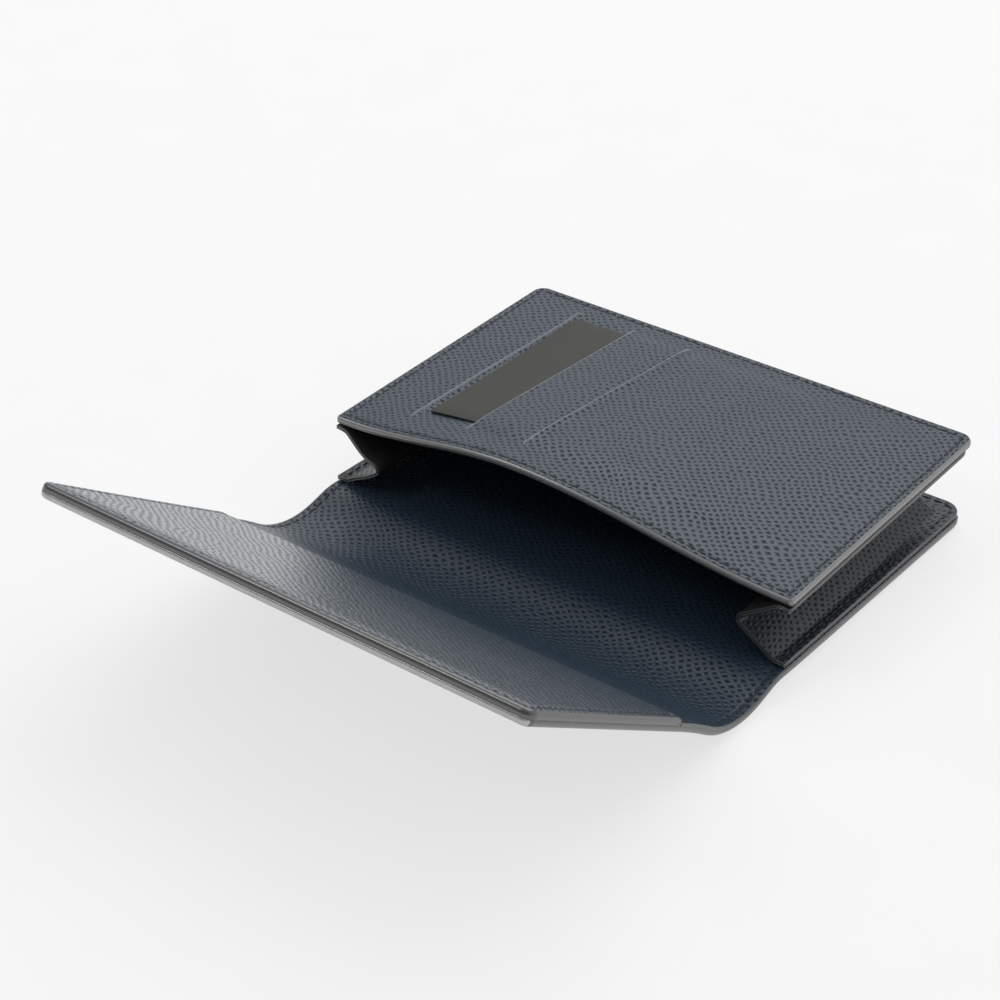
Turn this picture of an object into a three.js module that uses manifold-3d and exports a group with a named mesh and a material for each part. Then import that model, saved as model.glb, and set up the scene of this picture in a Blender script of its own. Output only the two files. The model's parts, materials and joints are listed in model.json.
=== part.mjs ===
// A leather business card case, lying open with its flap raised.
//
// One strip of cover leather runs under the back panel, round the spine and out to the free
// edge of the flap. A front panel stands above the back panel on a gusset folded inwards like
// bellows round three sides. The front panel has three slits, and a card is tucked under one.
//
// Millimetres and degrees. +X is to the right, +Z is up, and the mouth and flap lie towards -Y.
// Inside the case group, y = 0 is the closed back edge and z = 0 the top of the back lining.

import * as THREE from 'three';
import { mergeVertices } from 'three/addons/utils/BufferGeometryUtils.js';
import Module from 'manifold-3d';

// The card that the case is sized round, and the case's overall sizes
const CARD_LENGTH = 85.6;
const CARD_WIDTH = 54;
const CARD_THICKNESS = 0.4;
const SIDE_ALLOWANCE = 14.7;       // case beyond the card's length, each side
const SLIT_END_CLEARANCE = 2.75;   // slit beyond the card's width, each end
const SLIT_BACK = 6.3;             // closed back edge to the slits
const SLIT_FRONT_MARGIN = 9.2;     // slits to the mouth
const SLIT_LENGTH = CARD_WIDTH + 2 * SLIT_END_CLEARANCE;
const WIDTH = CARD_LENGTH + 2 * SIDE_ALLOWANCE;
const DEPTH = SLIT_BACK + SLIT_LENGTH + SLIT_FRONT_MARGIN;
const FLAP_SHORT = 7;              // the closed flap ends this far short of the back edge
const FLAP_LENGTH = DEPTH - FLAP_SHORT;
const FLAP_ANGLE = 31.6;           // slope of the open flap above the back panel
const FLAP_SIDE_TRIM = 0.3;        // the flap is trimmed this much narrower on each side
const PANEL_HEIGHT_BACK = 17.3;    // underside of the front panel at the closed edge
const PANEL_HEIGHT_FRONT = 14.5;   // and at the mouth

// Layers
const GLUE = 0.1;                  // film of glue between two layers
const COVER = 1.0;                 // outer cover leather
const BACK_BOARD = 0.5;
const BACK_LINING = 0.7;
const SPINE_REINFORCEMENT = 0.3;
const SPINE_LINING = 0.6;
const FLAP_FILLER = 0.55;
const FLAP_FACING = 0.95;
const FRONT_LINING = 0.6;
const FRONT_LEATHER = 1.2;
const GUSSET_LEATHER = 0.8;
const GUSSET_LINING = 0.5;

// Corners, edges and creases
const BACK_CORNER = 4.5;
const FRONT_CORNER_BACK = 3;
const FRONT_CORNER_MOUTH = 1;
const FLAP_CORNER = 2;
const BOARD_INSET = 4.2;           // boards stop inside the seam
const MOUTH_TO_CREASE = 1;         // the first crease lies just past the mouth
const HINGE_GAP = 0.2;             // half gap at a crease, at the inner surface
const HINGE_RELIEF = 0.6;          // half gap at the second crease, at the outer surface
const FACING_START = 13.5;         // second crease to the start of the thick flap facing

// Spine, as it lies open: a short dip, then a rising arc
const DIP_ANGLE = 15;
const DIP_RADIUS = 14;
const RISE_RADIUS = 21;
const RISE_ANGLE = 36;
const SPINE_SLACK = 9;             // spine length beyond the height of the packed case

// Gusset
const GUSSET_MARGIN = 4;           // flat stitched margin
const GUSSET_FOLD = 11.7;          // how far in from the edge the fold lies
const MITRE_GAP = 0.2;             // half gap between gusset pieces at the back corners
const TAPER_DROP = 0.2;            // a side gusset tapers in strips that each drop this much

// Seams
const SEAM_INSET = 1.9;            // edge to the middle of the stitches
const THREAD = 0.5;
const THREAD_HEIGHT = 0.3;
const SEAM_END = 1;                // seams stop this far short of a crease or an end
const GROOVE = 0.9;                // the pressed channel that the front seam lies in

// Slits and pocket
const SLIT_PITCH = 15;
const SLIT_COUNT = 3;
const FIRST_SLIT = 15.9;           // left edge to the first slit
const SLIT_WIDTH = 0.6;
const CARD_TO_SLIT = 1;            // the card's left edge lies this far past the first slit
const CARD_CLEARANCE = 0.1;
const POCKET_ROOF = 0.8;           // leather over the card
const POCKET_SIDE_CLEARANCE = 2;
const POCKET_TO_SEAM = 0.25;
const POCKET_WALL = 0.8;
const POCKET_BACKING = 0.4;

const CUTTER = 30;                 // cutting blocks reach this far past what they cut

const rad = THREE.MathUtils.degToRad;
const ARC_STEP = rad(5);
const wasm = await Module();
wasm.setup();

// ---------------------------------------------------------------- shapes and booleans

// A rectangle in plan from the back edge towards -Y, with its own radius at each end.
function panelOutline(width, yBack, yFront, backRadius, frontRadius) {
  const half = width / 2;
  const shape = new THREE.Shape();
  shape.moveTo(-half, yFront + frontRadius);
  if (frontRadius > 0) {
    shape.absarc(-half + frontRadius, yFront + frontRadius, frontRadius, Math.PI, 1.5 * Math.PI);
  }
  shape.lineTo(half - frontRadius, yFront);
  if (frontRadius > 0) {
    shape.absarc(half - frontRadius, yFront + frontRadius, frontRadius, 1.5 * Math.PI, 2 * Math.PI);
  }
  shape.lineTo(half, yBack - backRadius);
  if (backRadius > 0) {
    shape.absarc(half - backRadius, yBack - backRadius, backRadius, 0, 0.5 * Math.PI);
  }
  shape.lineTo(-half + backRadius, yBack);
  if (backRadius > 0) {
    shape.absarc(-half + backRadius, yBack - backRadius, backRadius, 0.5 * Math.PI, Math.PI);
  }
  shape.closePath();
  return shape;
}

function slab(shape, zLow, zHigh) {
  const geometry = new THREE.ExtrudeGeometry(shape, {
    depth: zHigh - zLow, bevelEnabled: false, curveSegments: 5,
  });
  return geometry.translate(0, 0, zLow);
}

function block(xLow, xHigh, yLow, yHigh, zLow, zHigh) {
  const geometry = new THREE.BoxGeometry(xHigh - xLow, yHigh - yLow, zHigh - zLow);
  return geometry.translate((xLow + xHigh) / 2, (yLow + yHigh) / 2, (zLow + zHigh) / 2);
}

// Extrudes an outline drawn in (y, z) along X.
function alongX(points, xLow, xHigh) {
  const geometry = new THREE.ExtrudeGeometry(new THREE.Shape(points), {
    depth: xHigh - xLow, bevelEnabled: false,
  });
  const yAxis = new THREE.Vector3(0, 1, 0);
  const zAxis = new THREE.Vector3(0, 0, 1);
  const xAxis = new THREE.Vector3(1, 0, 0);
  geometry.applyMatrix4(new THREE.Matrix4().makeBasis(yAxis, zAxis, xAxis));
  return geometry.translate(xLow, 0, 0);
}

function toSolid(geometry) {
  const plain = geometry.clone();
  plain.deleteAttribute('normal');
  plain.deleteAttribute('uv');
  const merged = mergeVertices(plain, 1e-4);
  return new wasm.Manifold(new wasm.Mesh({
    numProp: 3,
    vertProperties: new Float32Array(merged.attributes.position.array),
    triVerts: new Uint32Array(merged.index.array),
  }));
}

function toGeometry(solid) {
  const mesh = solid.getMesh();
  const geometry = new THREE.BufferGeometry();
  geometry.setAttribute('position', new THREE.BufferAttribute(mesh.vertProperties, 3));
  geometry.setIndex(new THREE.BufferAttribute(mesh.triVerts, 1));
  geometry.computeVertexNormals();
  return geometry;
}

function cut(geometry, tools) {
  let solid = toSolid(geometry);
  for (const tool of tools) {
    solid = solid.subtract(toSolid(tool));
  }
  return toGeometry(solid);
}

// A closed band of stitching that follows a panel's outline, inset from its edge.
function seamRing(yBack, yFront, backRadius, frontRadius, width, zLow, zHigh) {
  const ring = (offset) => panelOutline(
    WIDTH - 2 * offset, yBack - offset, yFront + offset,
    Math.max(backRadius - offset, 0.6), Math.max(frontRadius - offset, 0.6));
  const band = ring(SEAM_INSET - width / 2);
  band.holes.push(ring(SEAM_INSET + width / 2));
  return slab(band, zLow, zHigh);
}

// ---------------------------------------------------------------- materials

const material = (color, roughness) => new THREE.MeshStandardMaterial({
  color, roughness, metalness: 0,
});
const coverLeather = material(0x2a3038, 0.6);
const liningLeather = material(0x3a414b, 0.6);
const gussetLeather = material(0x262b33, 0.55);
const gussetLining = material(0x0e0f11, 0.7);
const stiffener = material(0x6b6459, 0.9);
const thread = material(0x1b2a4a, 0.7);
const backingFabric = material(0x17181a, 0.9);
const cardStock = material(0x4b4945, 0.7);

function piece(name, geometry, look) {
  const mesh = new THREE.Mesh(geometry, look);
  mesh.name = name;
  return mesh;
}

// ---------------------------------------------------------------- back panel

const BACK_FRONT_EDGE = -(DEPTH + MOUTH_TO_CREASE);
const BACK_THICKNESS = BACK_LINING + GLUE + BACK_BOARD + GLUE + COVER;

function backPanel() {
  const group = new THREE.Group();
  const outline = panelOutline(WIDTH, 0, BACK_FRONT_EDGE + HINGE_GAP, BACK_CORNER, 0);
  const boardOutline = panelOutline(
    WIDTH - 2 * BOARD_INSET, -BOARD_INSET, -DEPTH + BOARD_INSET, 1, 1);
  const boardTop = -BACK_LINING - GLUE;
  group.add(piece('back_lining_leather', slab(outline, -BACK_LINING, 0), liningLeather));
  group.add(piece('back_board', slab(boardOutline, boardTop - BACK_BOARD, boardTop), stiffener));
  group.add(piece('back_cover_leather',
    slab(outline, -BACK_THICKNESS, -BACK_THICKNESS + COVER), coverLeather));
  return group;
}

// ---------------------------------------------------------------- gusset

const GUSSET_THICKNESS = GLUE + GUSSET_LINING + GLUE + GUSSET_LEATHER;

function panelHeight(y) {
  return PANEL_HEIGHT_BACK + (PANEL_HEIGHT_FRONT - PANEL_HEIGHT_BACK) * (-y / DEPTH);
}

// The folded sheet in section: u is the distance in from the edge, and depth is measured from
// the visible outer face towards the inside of the case.
function foldedSection(depthOuter, depthInner) {
  const height = PANEL_HEIGHT_BACK;
  const rise = height / 2 - GUSSET_THICKNESS;
  const run = GUSSET_FOLD - GUSSET_MARGIN;
  const legAngle = Math.atan2(rise, run);
  const elbow = Math.tan(legAngle / 2);
  const apexReach = 1 / Math.sin(legAngle);
  const half = (depth) => [
    new THREE.Vector2(0, GUSSET_THICKNESS - depth),
    new THREE.Vector2(GUSSET_MARGIN + depth * elbow, GUSSET_THICKNESS - depth),
  ];
  const side = (depth) => {
    const lower = half(depth);
    const apex = new THREE.Vector2(GUSSET_FOLD + depth * apexReach, height / 2);
    const upper = lower.map((p) => new THREE.Vector2(p.x, height - p.y)).reverse();
    return [...lower, apex, ...upper];
  };
  return [...side(depthOuter), ...side(depthInner).reverse()];
}

// Squeezes a gusset piece so that it fills the wedge under the sloping front panel.
function fitUnderPanel(geometry) {
  const position = geometry.attributes.position;
  for (let i = 0; i < position.count; i += 1) {
    const z = position.getZ(i);
    const low = GUSSET_THICKNESS;
    const high = PANEL_HEIGHT_BACK - GUSSET_THICKNESS;
    const drop = PANEL_HEIGHT_BACK - panelHeight(position.getY(i)) + GLUE;
    const share = THREE.MathUtils.clamp((z - low) / (high - low), 0, 1);
    position.setZ(i, z - drop * share);
  }
  return geometry;
}

const TAPER_STEPS = Math.ceil(Math.abs(PANEL_HEIGHT_BACK - PANEL_HEIGHT_FRONT) / TAPER_DROP) + 1;

function gussetPiece(section, side) {
  const half = WIDTH / 2;
  const reach = 2 * GUSSET_FOLD;
  let sheet;
  const plan = new THREE.Shape();
  if (side === 0) {
    sheet = alongX(section.map((p) => new THREE.Vector2(-p.x, p.y)), -half, half);
    plan.moveTo(-half + MITRE_GAP, 1);
    plan.lineTo(-half + MITRE_GAP, 0);
    plan.lineTo(-half + reach + MITRE_GAP, -reach);
    plan.lineTo(half - reach - MITRE_GAP, -reach);
    plan.lineTo(half - MITRE_GAP, 0);
    plan.lineTo(half - MITRE_GAP, 1);
  } else {
    const outline = section.map((p) => new THREE.Vector2(side * (half - p.x), p.y));
    sheet = new THREE.ExtrudeGeometry(new THREE.Shape(outline), {
      depth: DEPTH, steps: TAPER_STEPS, bevelEnabled: false,
    });
    sheet.rotateX(Math.PI / 2);
    plan.moveTo(side * (half + 1), 1 - MITRE_GAP);
    plan.lineTo(side * half, -MITRE_GAP);
    plan.lineTo(side * (half - reach), -reach - MITRE_GAP);
    plan.lineTo(side * (half - reach), -DEPTH - 1);
    plan.lineTo(side * (half + 1), -DEPTH - 1);
  }
  const tall = 2 * PANEL_HEIGHT_BACK;
  const mitre = slab(plan, -1, tall);
  const outline = slab(panelOutline(WIDTH, 0, -DEPTH - 1, BACK_CORNER, 0), -1, tall);
  const tapered = toSolid(fitUnderPanel(sheet));
  return toGeometry(tapered.intersect(toSolid(mitre)).intersect(toSolid(outline)));
}

function gusset() {
  const group = new THREE.Group();
  const sides = [['left', -1], ['right', 1], ['bottom', 0]];
  for (const [name, side] of sides) {
    const leather = foldedSection(0, GUSSET_LEATHER);
    const lining = foldedSection(GUSSET_LEATHER + GLUE, GUSSET_THICKNESS - GLUE);
    group.add(piece(`gusset_${name}_leather`, gussetPiece(leather, side), gussetLeather));
    group.add(piece(`gusset_${name}_lining`, gussetPiece(lining, side), gussetLining));
  }
  return group;
}

// Stitching through the gusset's lower margin, round three sides of the back panel.
function backSeam() {
  const zLow = GUSSET_THICKNESS + GLUE;
  const ring = seamRing(
    0, -DEPTH - CUTTER, BACK_CORNER, 0, THREAD, zLow, zLow + THREAD_HEIGHT);
  const beyondMouth = block(
    -WIDTH, WIDTH, -DEPTH - 2 * CUTTER, -DEPTH + SEAM_END, zLow - 1, zLow + 1);
  return piece('back_seam_thread', cut(ring, [beyondMouth]), thread);
}

// ---------------------------------------------------------------- spine

// The inner surface of the spine, as runs of constant curvature from the first crease.
const SPINE_LENGTH = PANEL_HEIGHT_BACK + SPINE_SLACK;
const dip = { length: DIP_RADIUS * rad(DIP_ANGLE), bend: -rad(DIP_ANGLE) };
const rise = {
  length: RISE_RADIUS * rad(DIP_ANGLE + RISE_ANGLE), bend: rad(DIP_ANGLE + RISE_ANGLE),
};
const straight = { length: SPINE_LENGTH - dip.length - rise.length, bend: 0 };
const spineRuns = [dip, straight, rise];
const SPINE_THICKNESS = SPINE_LINING + GLUE + SPINE_REINFORCEMENT + GLUE + COVER;

// Where the spine's inner surface is after a distance, and the way it faces there.
function spineAt(distance) {
  const at = { y: BACK_FRONT_EDGE, z: 0, heading: 0 };
  let left = distance;
  for (const run of spineRuns) {
    const share = THREE.MathUtils.clamp(left / run.length, 0, 1);
    const length = run.length * share;
    const bend = run.bend * share;
    const mid = at.heading + bend / 2;
    const chord = bend === 0 ? length : length * Math.sin(bend / 2) / (bend / 2);
    at.y -= chord * Math.cos(mid);
    at.z += chord * Math.sin(mid);
    at.heading += bend;
    left -= length;
    if (share < 1) break;
  }
  return at;
}

function spinePoint(distance, depth) {
  const at = spineAt(distance);
  return new THREE.Vector2(
    at.y - depth * Math.sin(at.heading), at.z - depth * Math.cos(at.heading));
}

// One layer of the spine, between two distances and two depths below the inner surface.
function spineLayer(start, end, top, bottom, xLow, xHigh) {
  const stops = [start];
  let reached = 0;
  for (const run of spineRuns) {
    const steps = Math.max(1, Math.round(Math.abs(run.bend) / ARC_STEP));
    for (let i = 1; i <= steps; i += 1) {
      const stop = reached + run.length * i / steps;
      if (stop > start + 0.1 && stop < end - 0.1) stops.push(stop);
    }
    reached += run.length;
  }
  stops.push(end);
  const upper = stops.map((s) => spinePoint(s, top));
  const lower = stops.map((s) => spinePoint(s, bottom)).reverse();
  return alongX([...upper, ...lower], xLow, xHigh);
}

function spine() {
  const group = new THREE.Group();
  const half = WIDTH / 2;
  const boardTop = SPINE_LINING + GLUE;
  group.add(piece('spine_lining_leather',
    spineLayer(HINGE_GAP, SPINE_LENGTH - HINGE_GAP, 0, SPINE_LINING, -half, half),
    liningLeather));
  group.add(piece('spine_reinforcement',
    spineLayer(HINGE_RELIEF, SPINE_LENGTH - HINGE_RELIEF, boardTop,
      boardTop + SPINE_REINFORCEMENT, -half + BOARD_INSET, half - BOARD_INSET),
    stiffener));
  group.add(piece('spine_cover_leather',
    spineLayer(HINGE_GAP, SPINE_LENGTH - HINGE_RELIEF, SPINE_THICKNESS - COVER,
      SPINE_THICKNESS, -half, half),
    coverLeather));
  for (const [name, side] of [['left', -1], ['right', 1]]) {
    const middle = side * (half - SEAM_INSET);
    group.add(piece(`spine_${name}_thread`,
      spineLayer(2 * SEAM_END, SPINE_LENGTH - SEAM_END, -GLUE - THREAD_HEIGHT, -GLUE,
        middle - THREAD / 2, middle + THREAD / 2),
      thread));
  }
  return group;
}

// ---------------------------------------------------------------- flap

// The flap is flat. Its group stands at the second crease, turned to the flap's slope.
function flap() {
  const group = new THREE.Group();
  const crease = spineAt(SPINE_LENGTH);
  group.position.set(0, crease.y, crease.z);
  group.rotation.x = -rad(FLAP_ANGLE);

  const width = WIDTH - 2 * FLAP_SIDE_TRIM;
  const outline = (start, end, corner) => panelOutline(width, -start, -end, 0, corner);
  const inner = (start) => panelOutline(
    width - 2 * BOARD_INSET, -start, -FLAP_LENGTH + BOARD_INSET, 0, 1);
  const reinforcementTop = -SPINE_LINING - GLUE;
  const fillerLow = reinforcementTop;
  const facingTop = fillerLow + GLUE + FLAP_FILLER + GLUE + FLAP_FACING;

  group.add(piece('flap_cover_leather',
    slab(outline(HINGE_RELIEF, FLAP_LENGTH, FLAP_CORNER), -SPINE_THICKNESS,
      -SPINE_THICKNESS + COVER),
    coverLeather));
  group.add(piece('flap_reinforcement',
    slab(inner(HINGE_RELIEF), reinforcementTop - SPINE_REINFORCEMENT, reinforcementTop),
    stiffener));
  group.add(piece('flap_lining_leather',
    slab(outline(HINGE_GAP, FACING_START - GLUE, 0), -SPINE_LINING, 0), liningLeather));
  group.add(piece('flap_filler_board',
    slab(inner(FACING_START + 1), fillerLow + GLUE, fillerLow + GLUE + FLAP_FILLER),
    stiffener));
  group.add(piece('flap_facing_leather',
    slab(outline(FACING_START, FLAP_LENGTH, FLAP_CORNER), facingTop - FLAP_FACING, facingTop),
    liningLeather));

  const threadLow = facingTop + GLUE;
  const ring = seamRing(
    CUTTER, -FLAP_LENGTH, 0, FLAP_CORNER, THREAD, threadLow, threadLow + THREAD_HEIGHT);
  const beforeFacing = block(
    -WIDTH, WIDTH, -FACING_START - SEAM_END, 2 * CUTTER, threadLow - 1, threadLow + 1);
  group.add(piece('flap_seam_thread', cut(ring, [beforeFacing]), thread));
  return group;
}

// ---------------------------------------------------------------- front panel and card

const slitX = (index) => -WIDTH / 2 + FIRST_SLIT + index * SLIT_PITCH;
const LEATHER_LOW = FRONT_LINING + GLUE;
const LEATHER_TOP = LEATHER_LOW + FRONT_LEATHER;
const CARD_LOW = LEATHER_TOP + CARD_CLEARANCE;
const ROOF_LOW = CARD_LOW + CARD_THICKNESS + CARD_CLEARANCE;
const SLIT_FRONT = -SLIT_BACK - SLIT_LENGTH;
const CARD_MIDDLE_Y = -SLIT_BACK - SLIT_LENGTH / 2;

// The room between leather and lining that the card slides into, past the second slit.
const pocket = {
  left: slitX(1),
  right: WIDTH / 2 - SEAM_INSET - GROOVE / 2 - POCKET_TO_SEAM - POCKET_WALL,
  back: CARD_MIDDLE_Y + CARD_WIDTH / 2 + POCKET_SIDE_CLEARANCE,
  front: CARD_MIDDLE_Y - CARD_WIDTH / 2 - POCKET_SIDE_CLEARANCE,
};

// Flat leather that steps up over the pocket, cut by the slits and hollowed for the card.
function frontLeather() {
  const outline = panelOutline(WIDTH, 0, -DEPTH, FRONT_CORNER_BACK, FRONT_CORNER_MOUTH);
  const raised = block(
    pocket.left, pocket.right + POCKET_WALL, pocket.front - POCKET_WALL,
    pocket.back + POCKET_WALL, LEATHER_LOW + FRONT_LEATHER / 2, ROOF_LOW + POCKET_ROOF);
  let solid = toSolid(slab(outline, LEATHER_LOW, LEATHER_TOP)).add(toSolid(raised));
  const room = block(
    pocket.left - SLIT_WIDTH, pocket.right, pocket.front, pocket.back,
    LEATHER_LOW - 1, ROOF_LOW);
  const tools = [room];
  for (let i = 0; i < SLIT_COUNT; i += 1) {
    tools.push(block(slitX(i) - SLIT_WIDTH, slitX(i), SLIT_FRONT, -SLIT_BACK,
      LEATHER_LOW - 1, ROOF_LOW + POCKET_ROOF + 1));
  }
  const grooveLow = LEATHER_TOP - THREAD_HEIGHT - GLUE;
  tools.push(seamRing(0, -DEPTH, FRONT_CORNER_BACK, FRONT_CORNER_MOUTH, GROOVE,
    grooveLow, LEATHER_TOP + 1));
  for (const tool of tools) {
    solid = solid.subtract(toSolid(tool));
  }
  return toGeometry(solid);
}

function frontPanel() {
  const group = new THREE.Group();
  group.position.set(0, 0, PANEL_HEIGHT_BACK);
  group.rotation.x = Math.asin((PANEL_HEIGHT_BACK - PANEL_HEIGHT_FRONT) / DEPTH);

  const outline = panelOutline(WIDTH, 0, -DEPTH, FRONT_CORNER_BACK, FRONT_CORNER_MOUTH);
  group.add(piece('front_lining', slab(outline, 0, FRONT_LINING), gussetLining));
  group.add(piece('front_leather', frontLeather(), coverLeather));
  group.add(piece('pocket_backing',
    block(pocket.left, pocket.right - GLUE, pocket.front + GLUE, pocket.back - GLUE,
      LEATHER_LOW, LEATHER_LOW + POCKET_BACKING),
    backingFabric));
  group.add(piece('front_seam_thread',
    seamRing(0, -DEPTH, FRONT_CORNER_BACK, FRONT_CORNER_MOUTH, THREAD,
      LEATHER_TOP - THREAD_HEIGHT, LEATHER_TOP),
    thread));

  const cardLeft = slitX(0) + CARD_TO_SLIT;
  group.add(piece('insert_card',
    block(cardLeft, cardLeft + CARD_LENGTH, CARD_MIDDLE_Y - CARD_WIDTH / 2,
      CARD_MIDDLE_Y + CARD_WIDTH / 2, CARD_LOW, CARD_LOW + CARD_THICKNESS),
    cardStock));
  return group;
}

// ---------------------------------------------------------------- the whole case

// The open case stands on its back edge and on the underside of the spine's dip, so it tilts.
function restTilt() {
  const centre = spinePoint(SPINE_LENGTH - rise.length, -RISE_RADIUS);
  const reach = Math.hypot(centre.x, centre.y + BACK_THICKNESS);
  const radius = RISE_RADIUS + SPINE_THICKNESS;
  return Math.asin(radius / reach) - Math.atan2(centre.y + BACK_THICKNESS, -centre.x);
}

const cardCase = new THREE.Group();
cardCase.add(backPanel(), gusset(), backSeam(), spine(), flap(), frontPanel());
cardCase.rotation.x = -restTilt();

const model = new THREE.Group();
model.add(cardCase);
model.updateMatrixWorld(true);
const bounds = new THREE.Box3().setFromObject(model, true);
const centre = bounds.getCenter(new THREE.Vector3());
cardCase.position.set(0, -centre.y, -bounds.min.z);

export default model;
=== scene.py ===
"""A leather business card case, open on a table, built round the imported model."""

import json
import math

import bmesh
import bpy
from mathutils import Matrix, Vector


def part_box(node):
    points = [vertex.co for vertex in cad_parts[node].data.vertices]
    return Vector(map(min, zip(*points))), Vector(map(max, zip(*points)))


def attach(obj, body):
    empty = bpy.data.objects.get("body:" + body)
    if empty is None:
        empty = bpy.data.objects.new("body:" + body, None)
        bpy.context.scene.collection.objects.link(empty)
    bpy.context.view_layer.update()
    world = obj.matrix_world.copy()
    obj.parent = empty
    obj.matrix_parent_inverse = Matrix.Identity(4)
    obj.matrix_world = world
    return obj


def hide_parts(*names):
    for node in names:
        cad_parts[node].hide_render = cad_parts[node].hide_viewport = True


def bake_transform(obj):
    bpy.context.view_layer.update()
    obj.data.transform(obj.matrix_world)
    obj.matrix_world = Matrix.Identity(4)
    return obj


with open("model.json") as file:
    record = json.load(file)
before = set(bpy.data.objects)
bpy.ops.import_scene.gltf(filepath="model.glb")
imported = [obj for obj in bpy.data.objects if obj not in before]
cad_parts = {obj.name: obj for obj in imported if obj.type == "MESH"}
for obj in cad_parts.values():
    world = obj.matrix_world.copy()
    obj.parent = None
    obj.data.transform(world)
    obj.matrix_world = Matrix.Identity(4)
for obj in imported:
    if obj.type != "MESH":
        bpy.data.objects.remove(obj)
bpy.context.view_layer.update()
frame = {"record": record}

# ---------------------------------------------------------------- how the case lies
# The case lies open and leans on its back edge and its spine. Its own axes start at the closed
# back edge, on top of the back lining: x to the right, y back from the mouth, z off the panel.

CASE_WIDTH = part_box("back_cover_leather")[1][0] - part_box("back_cover_leather")[0][0]
CASE_DEPTH = 0.075
MOUTH_TO_CREASE = 0.001

record = frame["record"]
joint_places = {j["name"]: Vector(j.get("pos_m", (0, 0, 0))) for j in record["behaviour"]["joints"]}
case_up = -Vector(record["mounts"][0]["axis"]).normalized()
case_right = Vector((1, 0, 0))
case_back = case_up.cross(case_right)
case_origin = joint_places["spine_fold"] + case_back * (CASE_DEPTH + MOUTH_TO_CREASE)
case_to_row = Matrix((
    (case_right.x, case_back.x, case_up.x, case_origin.x),
    (case_right.y, case_back.y, case_up.y, case_origin.y),
    (case_right.z, case_back.z, case_up.z, case_origin.z),
    (0, 0, 0, 1),
))


# ---------------------------------------------------------------- camera
# A long lens looks down on the case from the front right.

CAMERA_AZIMUTH = math.radians(36.557)
CAMERA_ELEVATION = math.radians(31.498)
CAMERA_ROLL = math.radians(1.141)
CAMERA_DISTANCE = 0.5105
LOOK_AT = (-0.0244, -0.0592, 0.0)

toward_camera = Vector((
    math.sin(CAMERA_AZIMUTH) * math.cos(CAMERA_ELEVATION),
    -math.cos(CAMERA_AZIMUTH) * math.cos(CAMERA_ELEVATION),
    math.sin(CAMERA_ELEVATION),
))
level_right = Vector((math.cos(CAMERA_AZIMUTH), math.sin(CAMERA_AZIMUTH), 0))
level_up = toward_camera.cross(level_right)
camera_right = math.cos(CAMERA_ROLL) * level_right + math.sin(CAMERA_ROLL) * level_up
camera_up = toward_camera.cross(camera_right)
camera_place = Vector(LOOK_AT) + toward_camera * CAMERA_DISTANCE
camera_in_case = Matrix((camera_right, camera_up, toward_camera)).transposed().to_4x4()
camera_in_case.translation = camera_place

camera_data = bpy.data.cameras.new("camera")
camera_data.lens = 84.56
camera_data.sensor_width = 36
camera_data.clip_end = 20
camera = bpy.data.objects.new("camera", camera_data)
camera.matrix_world = case_to_row @ camera_in_case
bpy.context.scene.collection.objects.link(camera)
bpy.context.scene.camera = camera

# ---------------------------------------------------------------- table and light
# A plain pale table, a large soft light above and behind, a smaller one at the front left, and
# a pale room that is darker on the camera's side.

bpy.context.scene.view_settings.view_transform = "Standard"


def plain_nodes(material):
    material.use_nodes = True
    nodes = material.node_tree.nodes
    nodes.clear()
    output = nodes.new("ShaderNodeOutputMaterial")
    surface = nodes.new("ShaderNodeBsdfPrincipled")
    material.node_tree.links.new(surface.outputs["BSDF"], output.inputs["Surface"])
    return material.node_tree, surface


table_material = bpy.data.materials.new("table_white")
table_tree, table_surface = plain_nodes(table_material)
table_surface.inputs["Roughness"].default_value = 0.9
table_surface.inputs["Specular IOR Level"].default_value = 0.1
table_surface.inputs["Emission Color"].default_value = (1.0, 1.0, 0.995, 1)
table_surface.inputs["Emission Strength"].default_value = 0.70
table_noise = table_tree.nodes.new("ShaderNodeTexNoise")
table_noise.inputs["Scale"].default_value = 350
table_tone = table_tree.nodes.new("ShaderNodeMix")
table_tone.data_type = "RGBA"
table_tone.inputs["A"].default_value = (0.235, 0.235, 0.235, 1)
table_tone.inputs["B"].default_value = (0.255, 0.255, 0.255, 1)
table_tree.links.new(table_noise.outputs["Fac"], table_tone.inputs["Factor"])
table_tree.links.new(table_tone.outputs["Result"], table_surface.inputs["Base Color"])

bm = bmesh.new()
bmesh.ops.create_grid(bm, x_segments=1, y_segments=1, size=4)
table_mesh = bpy.data.meshes.new("table")
bm.to_mesh(table_mesh)
bm.free()
table = bpy.data.objects.new("table", table_mesh)
table_mesh.materials.append(table_material)
bpy.context.scene.collection.objects.link(table)


def area_light(name, width, height, energy, place):
    """A rectangular soft light that faces the case."""
    data = bpy.data.lights.new(name, "AREA")
    data.shape = "RECTANGLE"
    data.size = width
    data.size_y = height
    data.energy = energy
    light = bpy.data.objects.new(name, data)
    light.location = place
    light.rotation_euler = Vector(place).to_track_quat("Z", "Y").to_euler()
    bpy.context.scene.collection.objects.link(light)


area_light("softbox", 1.3, 0.9, 5.5, (-0.15, 0.75, 1.05))
area_light("window", 0.5, 0.35, 2.2, (-0.75, -0.72, 1.0))

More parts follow.
